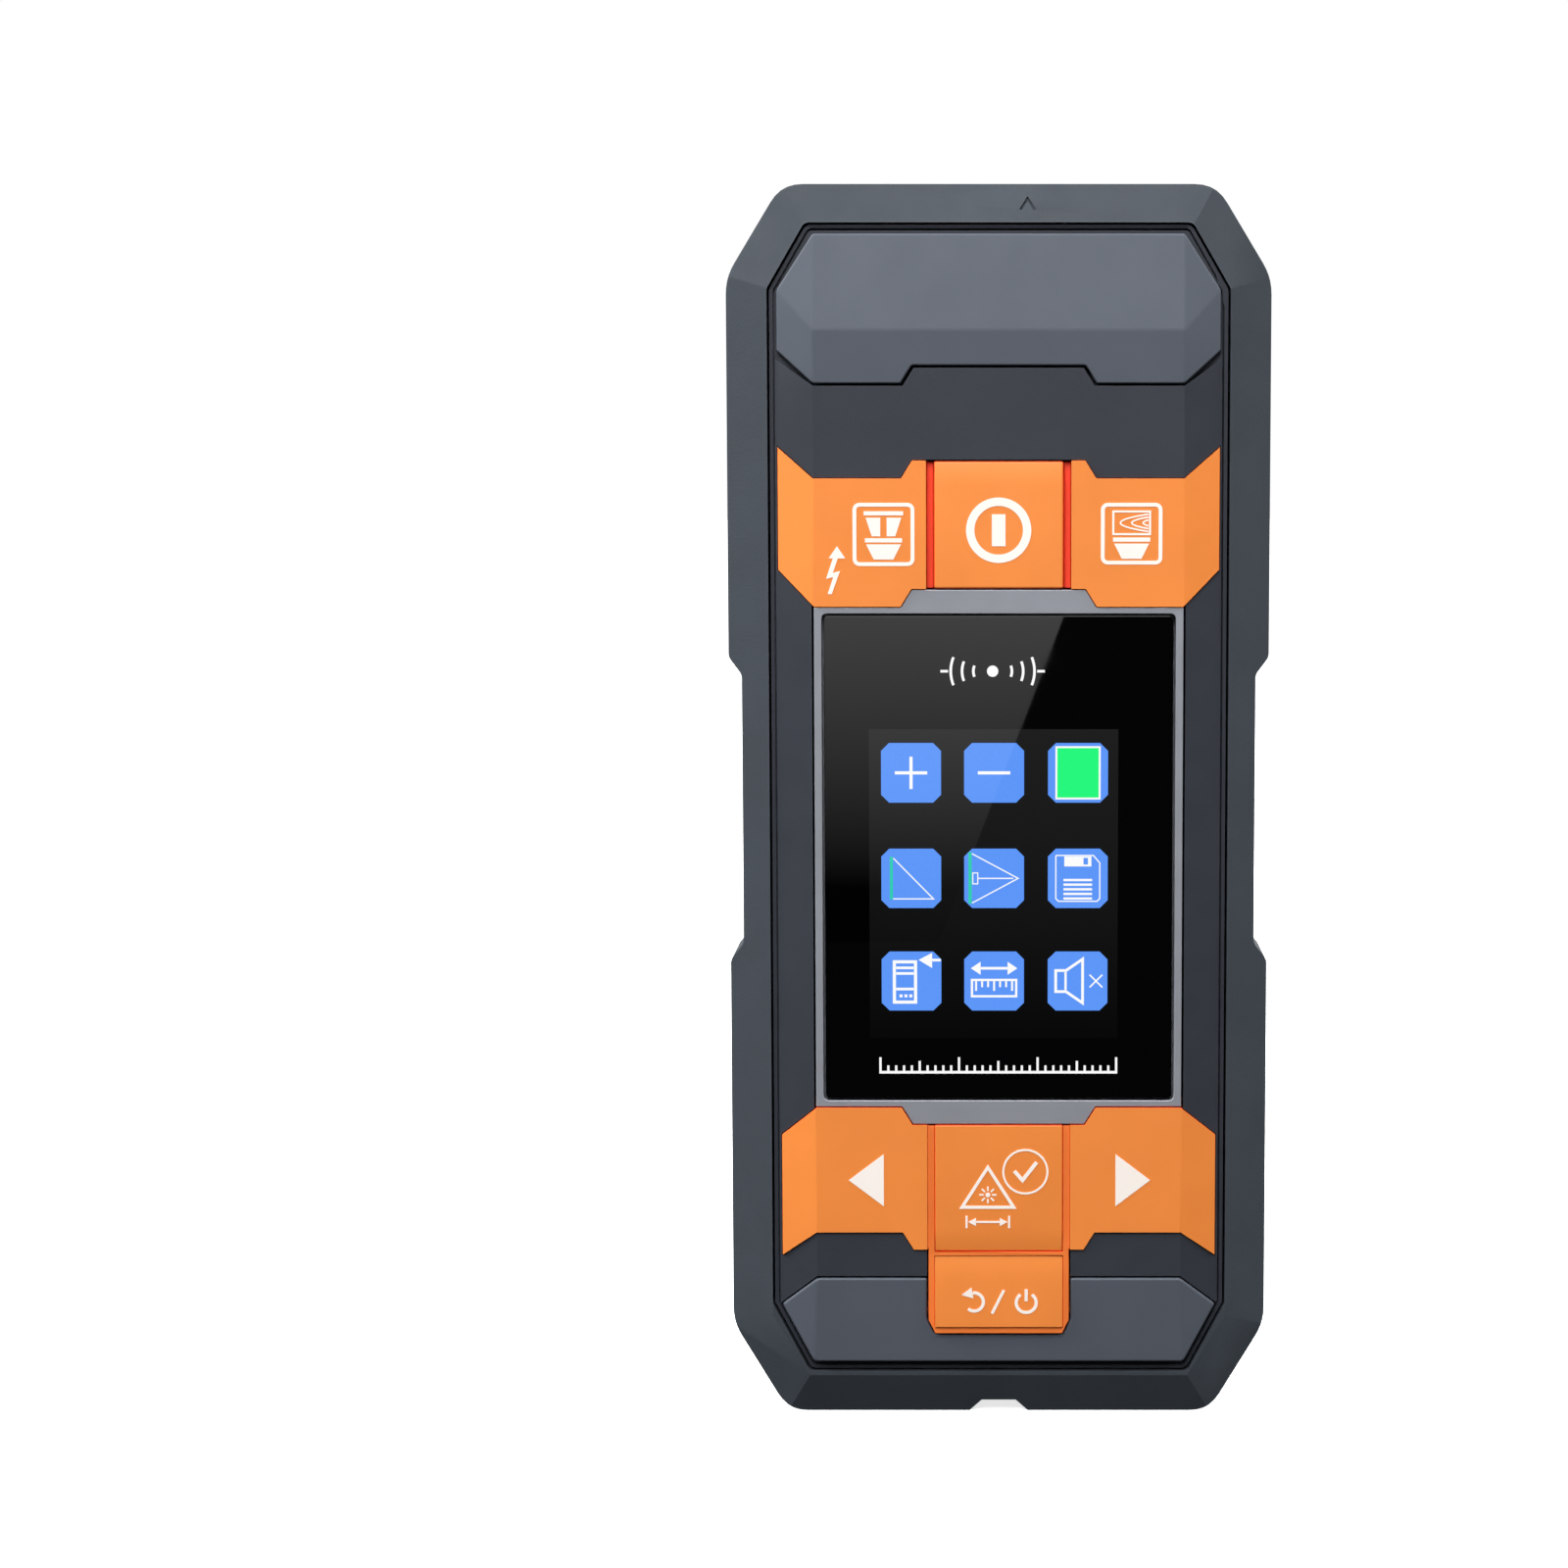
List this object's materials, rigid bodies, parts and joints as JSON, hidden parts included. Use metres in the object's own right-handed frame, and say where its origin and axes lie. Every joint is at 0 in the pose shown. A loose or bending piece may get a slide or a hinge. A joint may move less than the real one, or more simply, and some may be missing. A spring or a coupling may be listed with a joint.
{
  "type": "laser distance meter",
  "caption": "Hand-held laser distance meter with a wall detector: facetted front in a rubber frame, colour screen, two keypads, laser end window and battery door on the back.",
  "frame": {"origin": "middle of the lower end face that the instrument stands on, half way between the front of the keys and the glide pads", "axes": "+Z along the laser beam and the longest side, -Y out of the screen and keys, +X to the right as the screen is read"},
  "size_m": [0.072, 0.031, 0.165],
  "materials": {
    "bumper": "fine-grained dark slate grey rubber",
    "panel": "fine-grained charcoal grey",
    "cap": "satin mid grey",
    "key": "satin orange with white printed symbols",
    "keymat": "deep orange-red silicone",
    "silver": "satin silver paint",
    "glass": "black screen window, polished",
    "display": "dark display panel",
    "white_plastic": "white moulding",
    "black_plastic": "matt black moulding",
    "circuit_board": "green solder mask",
    "brass": "turned brass",
    "lens": "coated optical glass",
    "window": "deep red filter window",
    "copper": "enamelled copper wire",
    "steel": "plated steel",
    "battery": "wrapped cell, dark with a copper-coloured end",
    "shell": "fine-grained dark grey",
    "felt": "dense dark felt"
  },
  "bodies": {
    "housing": {"outer_frame": "bumper", "front_panel": "panel", "upper_cap": "cap", "lower_cap": "cap", "screen_surround": "silver", "screen_window": "glass", "display": "display", "display_tray": "white_plastic", "metal_switch": "steel", "power_switch": "steel", "wood_switch": "steel", "left_switch": "steel", "measure_switch": "steel", "right_switch": "steel", "off_switch": "steel", "upper_key_mat": "keymat", "lower_key_mat": "key", "main_board": "circuit_board", "buzzer": "black_plastic", "processor": "black_plastic", "optics_block": "black_plastic", "laser_module": "brass", "collimator_lens": "lens", "receiver_lens": "lens", "receiver_board": "circuit_board", "end_window": "window", "detector_board": "circuit_board", "detector_coil": "copper", "rear_shell": "shell", "glide_pad_1": "felt", "glide_pad_2": "felt", "glide_pad_3": "felt", "glide_pad_4": "felt", "case_screw_1": "steel", "case_screw_2": "steel", "case_screw_3": "steel", "case_screw_4": "steel", "battery_1": "battery", "battery_2": "battery", "battery_3": "battery", "contact_spring_1": "steel", "contact_spring_2": "steel", "contact_spring_3": "steel", "contact_plate_lower": "steel", "contact_plate_upper": "steel"},
    "metal_key": {"metal_key": "key"},
    "power_key": {"power_key": "key"},
    "wood_key": {"wood_key": "key"},
    "left_key": {"left_key": "key"},
    "measure_key": {"measure_key": "key"},
    "right_key": {"right_key": "key"},
    "off_key": {"off_key": "key"},
    "battery_door": {"battery_door": "shell"},
    "door_latch": {"door_latch": "shell"}
  },
  "joints": [
    {"name": "metal_key_press", "type": "slide", "parent": "housing", "child": "metal_key", "axis": [0, 1, 0], "range_m": [0, 0.0007], "stiffness_N_per_m": 1200, "springref_m": -0.0003},
    {"name": "power_key_press", "type": "slide", "parent": "housing", "child": "power_key", "axis": [0, 1, 0], "range_m": [0, 0.0007], "stiffness_N_per_m": 1200, "springref_m": -0.0003},
    {"name": "wood_key_press", "type": "slide", "parent": "housing", "child": "wood_key", "axis": [0, 1, 0], "range_m": [0, 0.0007], "stiffness_N_per_m": 1200, "springref_m": -0.0003},
    {"name": "left_key_press", "type": "slide", "parent": "housing", "child": "left_key", "axis": [0, 1, 0], "range_m": [0, 0.0007], "stiffness_N_per_m": 1200, "springref_m": -0.0003},
    {"name": "measure_key_press", "type": "slide", "parent": "housing", "child": "measure_key", "axis": [0, 1, 0], "range_m": [0, 0.0007], "stiffness_N_per_m": 1200, "springref_m": -0.0003},
    {"name": "right_key_press", "type": "slide", "parent": "housing", "child": "right_key", "axis": [0, 1, 0], "range_m": [0, 0.0007], "stiffness_N_per_m": 1200, "springref_m": -0.0003},
    {"name": "off_key_press", "type": "slide", "parent": "housing", "child": "off_key", "axis": [0, 1, 0], "range_m": [0, 0.0007], "stiffness_N_per_m": 1200, "springref_m": -0.0003},
    {"name": "battery_door_hinge", "type": "hinge", "parent": "housing", "child": "battery_door", "pos_m": [0, 0.0151, 0.0473], "axis": [-1, 0, 0], "range_deg": [0, 95]},
    {"name": "door_latch_slide", "type": "slide", "parent": "battery_door", "child": "door_latch", "axis": [0, 0, -1], "range_m": [0, 0.0012], "stiffness_N_per_m": 600, "springref_m": -0.0004}
  ]
}
